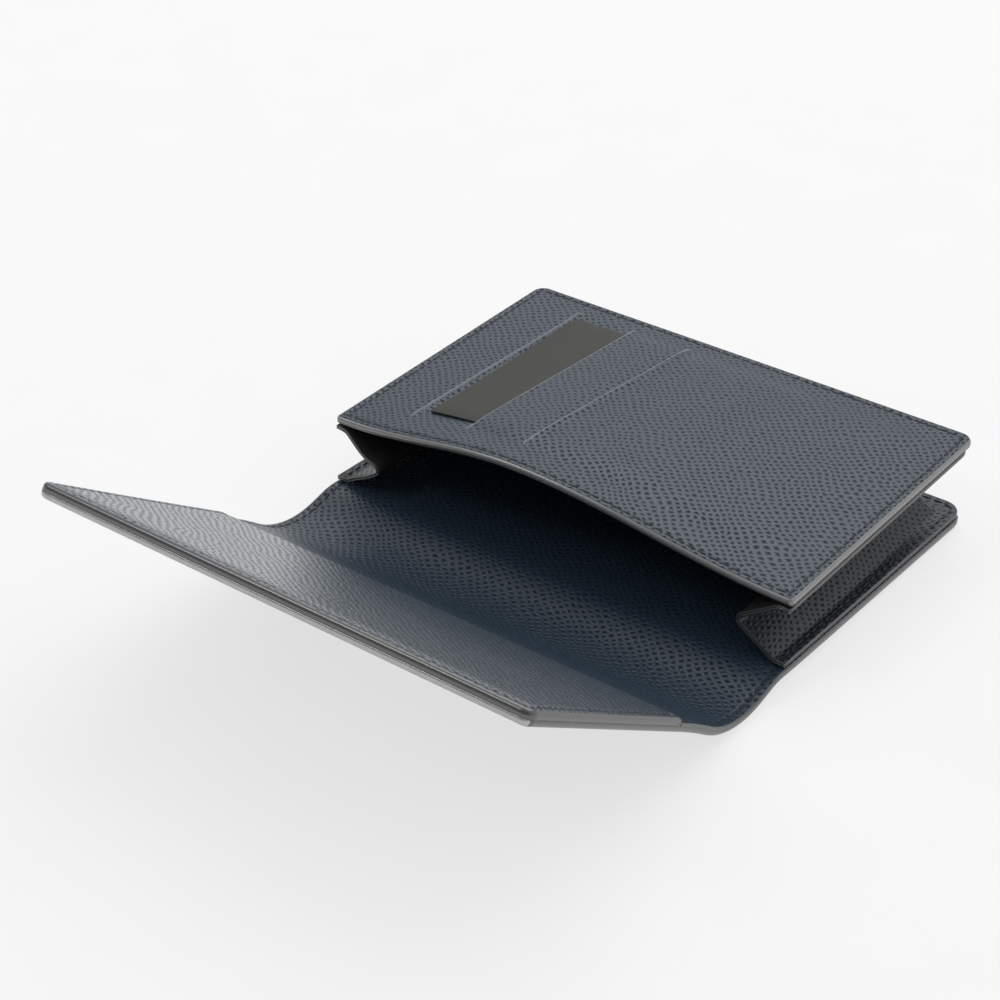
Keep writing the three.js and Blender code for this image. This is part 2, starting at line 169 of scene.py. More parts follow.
room = bpy.data.worlds.new("room")
bpy.context.scene.world = room
room.use_nodes = True
room_tree = room.node_tree
room_tree.nodes.clear()
room_output = room_tree.nodes.new("ShaderNodeOutputWorld")
room_light = room_tree.nodes.new("ShaderNodeBackground")
room_where = room_tree.nodes.new("ShaderNodeTexCoord")
room_axes = room_tree.nodes.new("ShaderNodeSeparateXYZ")
room_fade = room_tree.nodes.new("ShaderNodeMapRange")
room_fade.interpolation_type = "SMOOTHSTEP"
room_fade.inputs["From Min"].default_value = -0.9
room_fade.inputs["From Max"].default_value = 0.5
room_fade.inputs["To Min"].default_value = 0.36
room_fade.inputs["To Max"].default_value = 1.0
room_light.inputs["Color"].default_value = (0.985, 0.992, 1.0, 1)
room_tree.links.new(room_where.outputs["Generated"], room_axes.inputs["Vector"])
room_tree.links.new(room_axes.outputs["Y"], room_fade.inputs["Value"])
room_height = room_tree.nodes.new("ShaderNodeMapRange")
room_height.interpolation_type = "SMOOTHSTEP"
room_height.inputs["From Min"].default_value = 0.25
room_height.inputs["From Max"].default_value = 0.85
room_height.inputs["To Min"].default_value = 0.78
room_height.inputs["To Max"].default_value = 0.95
room_strength = room_tree.nodes.new("ShaderNodeMath")
room_strength.operation = "MULTIPLY"
room_tree.links.new(room_axes.outputs["Z"], room_height.inputs["Value"])
room_tree.links.new(room_fade.outputs["Result"], room_strength.inputs[0])
room_tree.links.new(room_height.outputs["Result"], room_strength.inputs[1])
room_tree.links.new(room_strength.outputs["Value"], room_light.inputs["Strength"])
room_tree.links.new(room_light.outputs["Background"], room_output.inputs["Surface"])

# ---------------------------------------------------------------- the strip: cover and lining
# One strip of grained calf runs under the back panel, round the spine and out to the flap's
# free edge. It is cut flat, its edges are rounded and painted, and it is folded to shape. The
# flap's free edge has a lighter, metallic paint than the sides, a painted highlight.

SPINE_LENGTH = 0.0263
DIP_ANGLE = math.radians(15)
DIP_RADIUS = 0.014
RISE_ANGLE = math.radians(36)
RISE_RADIUS = 0.021
FLAP_ANGLE = math.radians(31.6)
FLAP_LENGTH = 0.068
FLAP_EASE = 0.009
FLAP_TRIM = 0.0003
FLAP_CURL = 0.00055
FACING_START = 0.0135
CREASE = CASE_DEPTH + MOUTH_TO_CREASE
FLAP_CREASE = CREASE + SPINE_LENGTH
FLAP_STRETCH = 0.0010
STRIP_LENGTH = FLAP_CREASE + FLAP_LENGTH + FLAP_STRETCH

GLUE_LINE = 0.00001
COVER_LOW = -0.0021
COVER_HIGH = -0.0008
BACK_EXTRA = 0.0003
BACK_CORNER = 0.0045
FLAP_CORNER = 0.002
SEAM_INSET = 0.0019
SEAM_CHANNEL = 0.00055
CHANNEL_DEPTH = 0.00030
GRID_STEP = 0.0028

dip_length = DIP_RADIUS * DIP_ANGLE
rise_length = RISE_RADIUS * (DIP_ANGLE + RISE_ANGLE)
spine_runs = (
    (CREASE, 0),
    (dip_length, -DIP_ANGLE),
    (SPINE_LENGTH - dip_length - rise_length, 0),
    (rise_length, DIP_ANGLE + RISE_ANGLE),
    (FLAP_EASE, FLAP_ANGLE - RISE_ANGLE),
    (1.0, 0),
)


def strip_section(distance):
    """The inner surface after a distance from the back edge: its y, z and heading."""
    y = z = heading = 0.0
    left = distance
    for length, bend in spine_runs:
        share = min(max(left / length, 0.0), 1.0) if left > 0 else 0.0
        if length == CREASE and left < 0:
            share = left / length
        turn = bend * share
        chord = length * share
        if abs(turn) > 1e-9:
            chord *= math.sin(turn / 2) / (turn / 2)
        y -= chord * math.cos(heading + turn / 2)
        z += chord * math.sin(heading + turn / 2)
        heading += turn
        left -= length * share
        if share < 1:
            break
    return y, z, heading


def fold_strip(point):
    """Takes a point of the flat strip (x, minus distance, height) to its folded place."""
    y, z, heading = strip_section(-point.y)
    out = min(max((-point.y - FLAP_CREASE) / FLAP_LENGTH, 0), 1)
    curl = FLAP_CURL * out * out * (0.5 - point.x / CASE_WIDTH)
    under_back = min(max((CREASE + point.y) / 0.008, 0), 1)
    thicker = BACK_EXTRA * under_back * max((COVER_HIGH - point.z) / (COVER_HIGH - COVER_LOW), 0)
    height = point.z + curl - thicker
    return Vector((
        point.x * (1 - 2 * FLAP_TRIM / CASE_WIDTH * min(out * 6, 1)),
        y + height * math.sin(heading),
        z + height * math.cos(heading),
    ))


def edge_distance(x, y, outline):
    """How far inside a rounded outline a flat point lies."""
    half, start, end, start_corner, end_corner = outline
    middle = (start + end) / 2
    corner = start_corner if y > middle else end_corner
    across = abs(x) - (half - corner)
    along = abs(y - middle) - (abs(start - end) / 2 - corner)
    outside = math.hypot(max(across, 0), max(along, 0))
    return corner - outside - min(max(across, along), 0)


def slice_flat(bm, x_stops, y_stops):
    """Divides a flat piece along lines, so that it can be formed smoothly."""
    for axis, stops in ((Vector((1, 0, 0)), x_stops), (Vector((0, 1, 0)), y_stops)):
        for stop in stops:
            geometry = bm.verts[:] + bm.edges[:] + bm.faces[:]
            bmesh.ops.bisect_plane(
                bm, geom=geometry, dist=1e-6, plane_co=axis * stop, plane_no=axis)


def evenly(low, high, step):
    """Lines between two places, about a step apart."""
    count = max(1, round((high - low) / step))
    return [low + (high - low) * i / count for i in range(1, count)]


def near_edges(low, high):
    """Lines close to both edges, where the edge rounds over and the stitches lie."""
    inner = (0.0010, SEAM_INSET - SEAM_CHANNEL, SEAM_INSET, SEAM_INSET + SEAM_CHANNEL)
    return [low + d for d in inner] + [high - d for d in inner]


SLIT_WIDTH = 0.0003
SLIT_BEVEL = 0.00034
LIP_STOPS = (-0.0012, 0.0006, 0.0012, 0.0024)


def in_slit(x, y, slits, reach):
    return any(abs(x - at) < reach and front - SLIT_WIDTH < y < back + SLIT_WIDTH
               for at, back, front in slits)


ROUNDING_REACH = 0.0013


def into_leather(x, y, outline):
    """The way from a point of the cut edge into the leather."""
    step = 1e-6
    way = Vector((
        edge_distance(x + step, y, outline) - edge_distance(x - step, y, outline),
        edge_distance(x, y + step, outline) - edge_distance(x, y - step, outline), 0)) / (2 * step)
    return way / max(way.length_squared, 0.1)


def round_edge(bm, outline, face_height, amount, up):
    """Rounds the cut edge over into one face, as sandpaper and a bone burnisher leave it."""
    for turn in range(0, 90, 15):
        height = face_height + up * amount * (1 - math.sin(math.radians(turn)))
        geometry = bm.verts[:] + bm.edges[:] + bm.faces[:]
        bmesh.ops.bisect_plane(
            bm, geom=geometry, dist=1e-7, plane_co=(0, 0, height), plane_no=(0, 0, 1))
    for vert in bm.verts:
        over = min(1 - up * (vert.co.z - face_height) / amount, 1)
        away = max(edge_distance(vert.co.x, vert.co.y, outline), 0)
        if over > 1e-4 and away < ROUNDING_REACH:
            inset = amount * (1 - math.sqrt(1 - over * over)) * (1 - away / ROUNDING_REACH)
            vert.co += into_leather(vert.co.x, vert.co.y, outline) * inset


def cut_leather(outline, low, high, round_low, round_high, y_stops=(), slits=()):
    """Cuts a flat layer with rounded, painted edges. Its flat place is kept as its UV map."""
    half, start, end, start_corner, end_corner = outline
    bm = bmesh.new()
    bmesh.ops.create_grid(bm, x_segments=1, y_segments=1, size=0.5)
    bmesh.ops.scale(bm, vec=(2 * half, start - end, 1), verts=bm.verts[:])
    bmesh.ops.translate(bm, vec=(0, (start + end) / 2, low), verts=bm.verts[:])
    for corner, at_start in ((start_corner, True), (end_corner, False)):
        chosen = [v for v in bm.verts if (v.co.y > (start + end) / 2) == at_start]
        if corner > 0:
            bmesh.ops.bevel(
                bm, geom=chosen, offset=corner, offset_type="OFFSET", segments=6,
                profile=0.5, affect="VERTICES", material=-1)
    x_stops = evenly(-half, half, GRID_STEP) + near_edges(-half, half)
    stops = list(y_stops) + near_edges(end, start)
    for x, y_back, y_front in slits:
        x_stops += [x - SLIT_WIDTH / 2, x + SLIT_WIDTH / 2]
        x_stops += [x + stop for stop in LIP_STOPS]
        stops += [y_back, y_front]
    slice_flat(bm, x_stops, stops)
    for x, y_back, y_front in slits:
        inside = [
            f for f in bm.faces
            if abs(f.calc_center_median().x - x) < SLIT_WIDTH / 2
            and y_front < f.calc_center_median().y < y_back]
        bmesh.ops.delete(bm, geom=inside, context="FACES")
    raised = bmesh.ops.extrude_face_region(bm, geom=bm.faces[:], use_keep_orig=True)
    tops = [v for v in raised["geom"] if isinstance(v, bmesh.types.BMVert)]
    bmesh.ops.translate(bm, vec=(0, 0, high - low), verts=tops)
    bmesh.ops.recalc_face_normals(bm, faces=bm.faces[:])
    rim = [
        e for e in bm.edges
        if len(e.link_faces) == 2
        and abs(abs(e.link_faces[0].normal.z) - abs(e.link_faces[1].normal.z)) > 0.5]
    middles = {e: (e.verts[0].co + e.verts[1].co) / 2 for e in rim}
    cuts = [e for e in rim if in_slit(middles[e].x, middles[e].y, slits, 0.0004)]
    bmesh.ops.bevel(
        bm, geom=cuts, offset=SLIT_BEVEL, offset_type="OFFSET", segments=3, profile=0.5,
        affect="EDGES", clamp_overlap=True, material=-1)
    for face_height, amount, up in ((low, round_low, 1), (high, round_high, -1)):
        if amount > 0:
            round_edge(bm, outline, face_height, amount, up)
    bm.normal_update()
    uv = bm.loops.layers.uv.new("flat")
    for face in bm.faces:
        face.smooth = True
        face.material_index = 1 if abs(face.normal.z) < 0.9 else 0
        centre = face.calc_center_median()
        # Slit walls and lips take the third material; on the front panel that is a painted highlight
        # for the lips.
        if abs(face.normal.z) < 0.97 and in_slit(centre.x, centre.y, slits, 0.0005):
            face.material_index = 2
        for loop in face.loops:
            loop[uv].uv = (loop.vert.co.x, loop.vert.co.y)
    return bm


def press_channel(bm, outline, surface, depth):
    """Presses the shallow channel that the stitches lie in, into one face of a layer."""
    for vert in bm.verts:
        if abs(vert.co.z - surface) < 1e-5:
            away = abs(edge_distance(vert.co.x, vert.co.y, outline) - SEAM_INSET)
            vert.co.z -= depth * max(0, 1 - away / (SEAM_CHANNEL * 1.05))


def keep_part(bm, y_low, y_high):
    """A copy of a flat piece between two lines across it, closed at the cuts."""
    part = bm.copy()
    for stop, direction in ((y_low, -1), (y_high, 1)):
        if stop is None:
            continue
        geometry = part.verts[:] + part.edges[:] + part.faces[:]
        result = bmesh.ops.bisect_plane(
            part, geom=geometry, dist=1e-7, plane_co=(0, stop, 0),
            plane_no=(0, direction, 0), clear_outer=True)
        cut = [e for e in result["geom_cut"] if isinstance(e, bmesh.types.BMEdge)]
        for edge in cut:
            edge.smooth = False
        filled = bmesh.ops.holes_fill(part, edges=cut)
        for face in filled["faces"]:
            face.material_index = 1
            face.smooth = False
    return part


def form(bm, shape):
    for vert in bm.verts:
        vert.co = shape(vert.co)


def make_piece(name, bm, materials):
    """Turns a bmesh in the case's own axes into an object in the row's frame."""
    bm.transform(case_to_row)
    mesh = bpy.data.meshes.new(name)
    bm.to_mesh(mesh)
    bm.free()
    for material in materials:
        mesh.materials.append(material)
    piece = bpy.data.objects.new(name, mesh)
    bpy.context.scene.collection.objects.link(piece)
    return piece


def grained_leather(name, dye, painted_ridge_sheen, roughness, depth, gloss):
    """Calf pressed with a fine crossed grain: thin ridges on the bias round small pits; the ridges'
    lighter colour is a painted sheen.
    """
    material = bpy.data.materials.new(name)
    tree, surface = plain_nodes(material)
    nodes, link = tree.nodes, tree.links.new
    flat = nodes.new("ShaderNodeUVMap")
    flat.uv_map = "flat"

    drift = nodes.new("ShaderNodeTexNoise")
    drift.inputs["Scale"].default_value = 75
    drift.inputs["Detail"].default_value = 1.0
    drift_centre = nodes.new("ShaderNodeVectorMath")
    drift_centre.operation = "SUBTRACT"
    drift_centre.inputs[1].default_value = (0.5, 0.5, 0.5)
    drift_size = nodes.new("ShaderNodeVectorMath")
    drift_size.operation = "SCALE"
    drift_size.inputs["Scale"].default_value = 0.0034
    drifted = nodes.new("ShaderNodeVectorMath")
    drifted.operation = "ADD"
    link(flat.outputs["UV"], drift.inputs["Vector"])
    link(drift.outputs["Color"], drift_centre.inputs[0])
    link(drift_centre.outputs["Vector"], drift_size.inputs[0])
    link(flat.outputs["UV"], drifted.inputs[0])
    link(drift_size.outputs["Vector"], drifted.inputs[1])

    on_bias = nodes.new("ShaderNodeMapping")
    on_bias.inputs["Rotation"].default_value = (0, 0, math.radians(47))
    on_bias.inputs["Scale"].default_value = (640, 740, 1)
    link(drifted.outputs["Vector"], on_bias.inputs["Vector"])

    ridges = nodes.new("ShaderNodeTexVoronoi")
    ridges.voronoi_dimensions = "2D"
    ridges.feature = "DISTANCE_TO_EDGE"
    ridges.inputs["Scale"].default_value = 1.0
    ridges.inputs["Randomness"].default_value = 0.34
    link(on_bias.outputs["Vector"], ridges.inputs["Vector"])
    ridge_height = nodes.new("ShaderNodeMapRange")
    ridge_height.interpolation_type = "SMOOTHSTEP"
    ridge_height.inputs["From Min"].default_value = 0.12
    ridge_height.inputs["From Max"].default_value = 0.52
    ridge_height.inputs["To Min"].default_value = 1.0
    ridge_height.inputs["To Max"].default_value = 0.0
    link(ridges.outputs["Distance"], ridge_height.inputs["Value"])

    pores = nodes.new("ShaderNodeTexNoise")
    pores.inputs["Scale"].default_value = 1900
    pores.inputs["Detail"].default_value = 3
    link(flat.outputs["UV"], pores.inputs["Vector"])
    rough_pits = nodes.new("ShaderNodeMapRange")
    rough_pits.inputs["To Min"].default_value = 0.75
    rough_pits.inputs["To Max"].default_value = 0.12
    link(ridge_height.outputs["Result"], rough_pits.inputs["Value"])
    relief = nodes.new("ShaderNodeMath")
    relief.operation = "MULTIPLY_ADD"
    link(pores.outputs["Fac"], relief.inputs[0])
    link(rough_pits.outputs["Result"], relief.inputs[1])
    link(ridge_height.outputs["Result"], relief.inputs[2])

    bump = nodes.new("ShaderNodeBump")
    bump.inputs["Strength"].default_value = 1.0
    bump.inputs["Distance"].default_value = depth
    link(relief.outputs["Value"], bump.inputs["Height"])
    link(bump.outputs["Normal"], surface.inputs["Normal"])

    cloudy = nodes.new("ShaderNodeTexNoise")
    cloudy.inputs["Scale"].default_value = 38
    cloudy.inputs["Detail"].default_value = 3
    link(flat.outputs["UV"], cloudy.inputs["Vector"])
    # The ridges take the lighter colour, a painted sheen, and the pits keep the darker dye; the cloudy
    # noise is the leather's own uneven tone.
    tone = nodes.new("ShaderNodeMath")
    tone.operation = "MULTIPLY_ADD"
    tone.inputs[1].default_value = 0.3
    link(cloudy.outputs["Fac"], tone.inputs[0])
    link(ridge_height.outputs["Result"], tone.inputs[2])
    colour = nodes.new("ShaderNodeMix")
    colour.data_type = "RGBA"
    colour.inputs["A"].default_value = (*dye, 1)
    colour.inputs["B"].default_value = (*painted_ridge_sheen, 1)
    link(tone.outputs["Value"], colour.inputs["Factor"])
    link(colour.outputs["Result"], surface.inputs["Base Color"])

    polish = nodes.new("ShaderNodeMapRange")
    polish.inputs["To Min"].default_value = roughness + 0.12
    polish.inputs["To Max"].default_value = roughness - 0.04
    link(ridge_height.outputs["Result"], polish.inputs["Value"])
    link(polish.outputs["Result"], surface.inputs["Roughness"])
    for socket, in_pits, on_ridges in (
            ("Specular IOR Level", 0.15, 0.5), ("Coat Weight", 0.0, gloss)):
        sheen = nodes.new("ShaderNodeMapRange")
        sheen.inputs["To Min"].default_value = in_pits
        sheen.inputs["To Max"].default_value = on_ridges
        link(ridge_height.outputs["Result"], sheen.inputs["Value"])
        link(sheen.outputs["Result"], surface.inputs[socket])
    surface.inputs["Coat Roughness"].default_value = 0.32
    link(bump.outputs["Normal"], surface.inputs["Coat Normal"])
    return material


def edge_paint(name, shade, metallic=0.0):
    """Satin edge paint: brushed on in coats, faintly uneven along the edge."""
    material = bpy.data.materials.new(name)
    tree, surface = plain_nodes(material)
    nodes, link = tree.nodes, tree.links.new
    where = nodes.new("ShaderNodeTexCoord")
    coats = nodes.new("ShaderNodeTexNoise")
    coats.inputs["Scale"].default_value = 420
    coats.inputs["Detail"].default_value = 4
    link(where.outputs["Object"], coats.inputs["Vector"])
    bump = nodes.new("ShaderNodeBump")
    bump.inputs["Strength"].default_value = 0.4
    bump.inputs["Distance"].default_value = 0.00005
    link(coats.outputs["Fac"], bump.inputs["Height"])
    link(bump.outputs["Normal"], surface.inputs["Normal"])
    colour = nodes.new("ShaderNodeMix")
    colour.data_type = "RGBA"
    colour.inputs["A"].default_value = (shade * 0.85, shade * 0.85, shade * 0.86, 1)
    colour.inputs["B"].default_value = (shade * 1.2, shade * 1.2, shade * 1.16, 1)
    link(coats.outputs["Fac"], colour.inputs["Factor"])
    link(colour.outputs["Result"], surface.inputs["Base Color"])
    polish = nodes.new("ShaderNodeMapRange")
    polish.inputs["To Min"].default_value = 0.20
    polish.inputs["To Max"].default_value = 0.30
    link(coats.outputs["Fac"], polish.inputs["Value"])
    link(polish.outputs["Result"], surface.inputs["Roughness"])
    surface.inputs["IOR"].default_value = 2.05
    surface.inputs["Metallic"].default_value = metallic
    return material


navy_grain = grained_leather(
    "navy_grain", dye=(0.007, 0.012, 0.019), painted_ridge_sheen=(0.019, 0.035, 0.056), roughness=0.42,
    depth=0.00024, gloss=0.15)
black_paint = edge_paint("edge_paint", 0.022)
# A lighter, near-metallic copy of the edge paint for the flap's free edge: a painted highlight for the
# bright band along it.
free_edge_painted_highlight = edge_paint("free_edge_painted_highlight", 0.40, metallic=0.9)

STRIP_CUT = CREASE + 0.0056
fold_stops = [-(CREASE - 0.006 + 0.001 * i) for i in range(round((SPINE_LENGTH + 0.02) / 0.001))]
back_stops = evenly(-(CREASE - 0.006), 0, 0.006)
flap_stops = evenly(-STRIP_LENGTH, -(FLAP_CREASE + 0.014), 0.006)
FREE_EDGE = 0.0011


def across_spine(piece):
    """Bakes the place of a piece that runs from the back panel to the spine into its mesh."""
    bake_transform(piece)


def across_flap_crease(piece):
    """Finds the strip's section at the second crease, which is not used, and bakes the place of a piece
    that runs from the spine to the flap into its mesh.
    """
    y, z, heading = strip_section(FLAP_CREASE)
    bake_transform(piece)


def strip_layer(name, outline, low, high, round_low, round_high, material, nodes, channel):
    """One layer of the strip, in two parts that meet unseen in the straight of the spine."""
    stops = [y for y in back_stops + fold_stops + flap_stops
             if outline[2] + 0.003 < y < outline[1] - 0.003]
    whole = cut_leather(outline, low, high, round_low, round_high, stops)
    # Faces of the flap's free edge take the third material, the painted highlight paint.
    for face in whole.faces:
        at_free_edge = face.calc_center_median().y < -STRIP_LENGTH + FREE_EDGE
        if face.material_index == 1 and at_free_edge:
            face.material_index = 2
    press_channel(whole, cover_outline, *channel)
    parts = []
    for part_name, y_low, y_high, across, replaced in (
            ("back_and_spine", -STRIP_CUT, None, across_spine, nodes[0]),
            ("flap", None, -STRIP_CUT, across_flap_crease, nodes[1])):
        part = keep_part(whole, y_low, y_high)
        form(part, fold_strip)
        piece = make_piece(
            f"{name}_{part_name}", part, (material, black_paint, free_edge_painted_highlight))
        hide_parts(*replaced)
        across(piece)
        parts.append(piece)
    whole.free()
    return parts


cover_outline = (CASE_WIDTH / 2, 0.0, -STRIP_LENGTH, BACK_CORNER, FLAP_CORNER)
strip_layer(
    "cover", cover_outline, COVER_LOW, COVER_HIGH, 0.0012, 0.0, navy_grain,
    (("back_cover_leather",), ("spine_cover_leather", "flap_cover_leather", "spine_reinforcement")),
    (COVER_LOW, -CHANNEL_DEPTH))

lining_outline = (CASE_WIDTH / 2, 0.0, -(FLAP_CREASE + FACING_START), BACK_CORNER, 0.0)
strip_layer(
    "lining", lining_outline, COVER_HIGH + GLUE_LINE, 0.0, 0.0, 0.0005, navy_grain,
    (("back_lining_leather",), ("spine_lining_leather", "flap_lining_leather")),
    (0.0, CHANNEL_DEPTH))

# ---------------------------------------------------------------- flap facing
# A thicker piece of the same leather, padded with board, faces the inside of the flap. It
# starts with a visible step, and its cut edge is painted with the cover's.

FACING_TOP = 0.00105
# The facing's colours are lighter than the cover's, though it is the same leather: a painted sheen for
# the flap seen at a low angle.
facing_grain_painted_sheen = grained_leather(
    "facing_grain_painted_sheen", dye=(0.010, 0.016, 0.025), painted_ridge_sheen=(0.036, 0.053, 0.076), roughness=0.40,
    depth=0.00024, gloss=1.0)
facing_outline = (
    CASE_WIDTH / 2, -(FLAP_CREASE + FACING_START), -STRIP_LENGTH, 0.0, FLAP_CORNER)
facing_bm = cut_leather(facing_outline, COVER_HIGH + GLUE_LINE, FACING_TOP, 0.0, 0.0008, flap_stops)
press_channel(facing_bm, cover_outline, FACING_TOP, CHANNEL_DEPTH)
form(facing_bm, fold_strip)
facing = make_piece("flap_facing", facing_bm, (facing_grain_painted_sheen, black_paint))
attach(facing, "flap")
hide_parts("flap_facing_leather", "flap_filler_board", "flap_reinforcement")

# ---------------------------------------------------------------- front panel
# A grained calf panel over a smooth black lining, edge-painted together. Three slits are cut
# through the calf; their right-hand lips stand up, and the whole panel bows up at the mouth.

PANEL_HEIGHT = 0.0173
PANEL_TILT = math.asin(0.0028 / CASE_DEPTH)
LINING_TOP = 0.0006
CALF_LOW = LINING_TOP + 0.00002
PANEL_TOP = 0.0018
BOW_HEIGHT = 0.00565
BOW_CENTRE = -0.0084
BOW_LEFT = 0.049
BOW_RIGHT = 0.066
SLIT_BACK = -0.0063
SLIT_FRONT = -0.0658
SLIT_PLACES = (-0.0416, -0.0266, -0.0116)
POCKET_RIGHT = 0.0541
POCKET_LIFT = 0.00062
POCKET_ROOF = 0.00048
STRIP_PRESS = 0.0003
LIP_HEIGHT = 0.00045
SLIT_LEAN = 0.0015
panel_outline = (CASE_WIDTH / 2, 0.0, -CASE_DEPTH, 0.003, 0.001)


def smooth(value):
    value = min(max(value, 0.0), 1.0)
    return value * value * (3 - 2 * value)


def bow(x, y):
    """How far the panel bows up: nothing at the closed back, most at the mouth."""
    reach = BOW_LEFT if x < BOW_CENTRE else BOW_RIGHT
    across = min(abs(x - BOW_CENTRE) / reach, 1.0)
    return BOW_HEIGHT * math.cos(math.pi / 2 * across) ** 2 * min(max(-y / CASE_DEPTH, 0), 1.03)


def place_on_panel(point):
    """Takes a point of the flat front panel (x, y, height) to its bowed, tilted place."""
    height = point.z + bow(point.x, point.y)
    return Vector((
        point.x,
        point.y * math.cos(PANEL_TILT) - height * math.sin(PANEL_TILT),
        PANEL_HEIGHT + point.y * math.sin(PANEL_TILT) + height * math.cos(PANEL_TILT),
    ))


def pocket_share(x, y):
    """1 over the pocket that the cards slide into, fading to 0 towards the seams."""
    ends = smooth((SLIT_BACK + 0.0005 - y) / 0.004) * smooth((y - SLIT_FRONT + 0.0005) / 0.004)
    return ends * smooth((POCKET_RIGHT - x) / 0.012)


def panel_lift(x, y):
    """Where the calf stands above or below its flat level near the slits."""
    first, second, third = SLIT_PLACES
    along = smooth((SLIT_BACK - y) / 0.004) * smooth((y - SLIT_FRONT) / 0.004)
    lift = 0.0
    if first < x < second:
        lip = smooth(1 - (x - first - 0.0003) / 0.0009)
        pressed = smooth((x - first) / 0.001) * STRIP_PRESS
        lift = along * (0.5 * lip * LIP_HEIGHT - pressed * (1 - lip))
    elif x > second:
        lift = POCKET_LIFT * pocket_share(x, y)
        if x > third:
            lift += along * LIP_HEIGHT * smooth(1 - (x - third - 0.0004) / 0.0012)
        else:
            lift -= along * 0.0003 * smooth(1 - (third - x) / 0.004)
    return lift


def smooth_lining(name, shade, roughness):
    """A plain smooth surface, such as lining leather, with fine pores."""
    material = bpy.data.materials.new(name)
    tree, surface = plain_nodes(material)
    nodes, link = tree.nodes, tree.links.new
    where = nodes.new("ShaderNodeTexCoord")
    pores = nodes.new("ShaderNodeTexNoise")
    pores.inputs["Scale"].default_value = 1500
    pores.inputs["Detail"].default_value = 4
    link(where.outputs["Object"], pores.inputs["Vector"])
    bump = nodes.new("ShaderNodeBump")
    bump.inputs["Strength"].default_value = 0.6
    bump.inputs["Distance"].default_value = 0.00008
    link(pores.outputs["Fac"], bump.inputs["Height"])
    link(bump.outputs["Normal"], surface.inputs["Normal"])
    colour = nodes.new("ShaderNodeMix")
    colour.data_type = "RGBA"
    colour.inputs["A"].default_value = (*(0.8 * c for c in shade), 1)
    colour.inputs["B"].default_value = (*(1.25 * c for c in shade), 1)
    link(pores.outputs["Fac"], colour.inputs["Factor"])
    link(colour.outputs["Result"], surface.inputs["Base Color"])
    surface.inputs["Roughness"].default_value = roughness
    return material


# The slits' cut walls and rounded lips get a light blue-grey colour: a painted highlight for the light
# line along each lip.
slit_wall_painted_highlight = smooth_lining("slit_wall_painted_highlight", (0.17, 0.19, 0.215), 0.45)
# A lighter copy of the edge paint for the front panel's rim: a painted highlight for the lit band along
# that edge.
panel_edge_painted_highlight = edge_paint("panel_edge_painted_highlight", 0.17)
slits = [(x, SLIT_BACK, SLIT_FRONT) for x in SLIT_PLACES]
panel_stops = evenly(-CASE_DEPTH, 0, GRID_STEP)
front_bm = cut_leather(
    panel_outline, CALF_LOW, PANEL_TOP, 0.0, 0.0009, panel_stops, slits)
press_channel(front_bm, panel_outline, PANEL_TOP, CHANNEL_DEPTH)
for vert in front_bm.verts:
    share = (vert.co.z - LINING_TOP) / (PANEL_TOP - LINING_TOP)
    lift = panel_lift(vert.co.x, vert.co.y)
    top = PANEL_TOP + lift
    bottom = CALF_LOW
    if vert.co.x > SLIT_PLACES[1]:
        roomy = min(pocket_share(vert.co.x, vert.co.y) * 1.6, 1.0)
        bottom += (top - POCKET_ROOF - bottom) * roomy
    else:
        bottom += min(lift, 0)
    vert.co.z = bottom + (top - bottom) * share
    inner = smooth((CASE_WIDTH / 2 - 0.003 - abs(vert.co.x)) / 0.012)
    vert.co.x -= SLIT_LEAN * inner * smooth((-vert.co.y - 0.004) / 0.064)
form(front_bm, place_on_panel)
front_leather = make_piece(
    "front_panel", front_bm, (navy_grain, panel_edge_painted_highlight, slit_wall_painted_highlight))
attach(front_leather, "front_panel")
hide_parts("front_leather")

POCKET_SAG = 0.0021
SAG_SIDE = 0.0520
SAG_FRONT = 0.0715


def pocket_sag(x, y):
    """The lining hangs a little slack under the pocket, which leaves the card room to slide."""
    sides = smooth((x + SAG_SIDE) / 0.012) * smooth((SAG_SIDE - x) / 0.012)
    ends = smooth((-0.004 - y) / 0.012) * smooth((y + SAG_FRONT) / 0.007)
    return POCKET_SAG * sides * ends * min(max(-y / 0.06, 0), 1)


black_lining = smooth_lining("black_lining", (0.016, 0.016, 0.015), 0.55)
lining_bm = cut_leather(panel_outline, 0.0, LINING_TOP, 0.0005, 0.0, panel_stops)
for vert in lining_bm.verts:
    vert.co.z -= pocket_sag(vert.co.x, vert.co.y)
form(lining_bm, place_on_panel)
panel_lining = make_piece("panel_lining", lining_bm, (black_lining, black_paint))
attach(panel_lining, "front_panel")
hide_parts("front_lining")

backing_outline = (0.0480, -0.0050, -0.0685, 0.001, 0.001)
pocket_cloth = smooth_lining("pocket_cloth", (0.02, 0.02, 0.021), 0.9)
backing_bm = cut_leather(
    backing_outline, LINING_TOP + 0.00004, LINING_TOP + 0.00024, 0.0, 0.00008, panel_stops[1:-1])
for vert in backing_bm.verts:
    vert.co.z -= pocket_sag(vert.co.x, vert.co.y) - 0.00002
form(backing_bm, place_on_panel)
pocket_backing = make_piece("pocket_cloth", backing_bm, (pocket_cloth,) * 2)
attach(pocket_backing, "front_panel")
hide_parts("pocket_backing")

# ---------------------------------------------------------------- card in the pocket
# A plain dark card. Its left end lies over the strip between two slits, and the rest is
# in the pocket, under the calf.

CARD_LEFT = -0.0406
CARD_RIGHT = 0.0450
CARD_BACK = -0.00905
CARD_FRONT = -0.06305
CARD_THICKNESS = 0.0004
CARD_LOW = PANEL_TOP - STRIP_PRESS + 0.00004
CARD_HIGH = CARD_LOW + CARD_THICKNESS

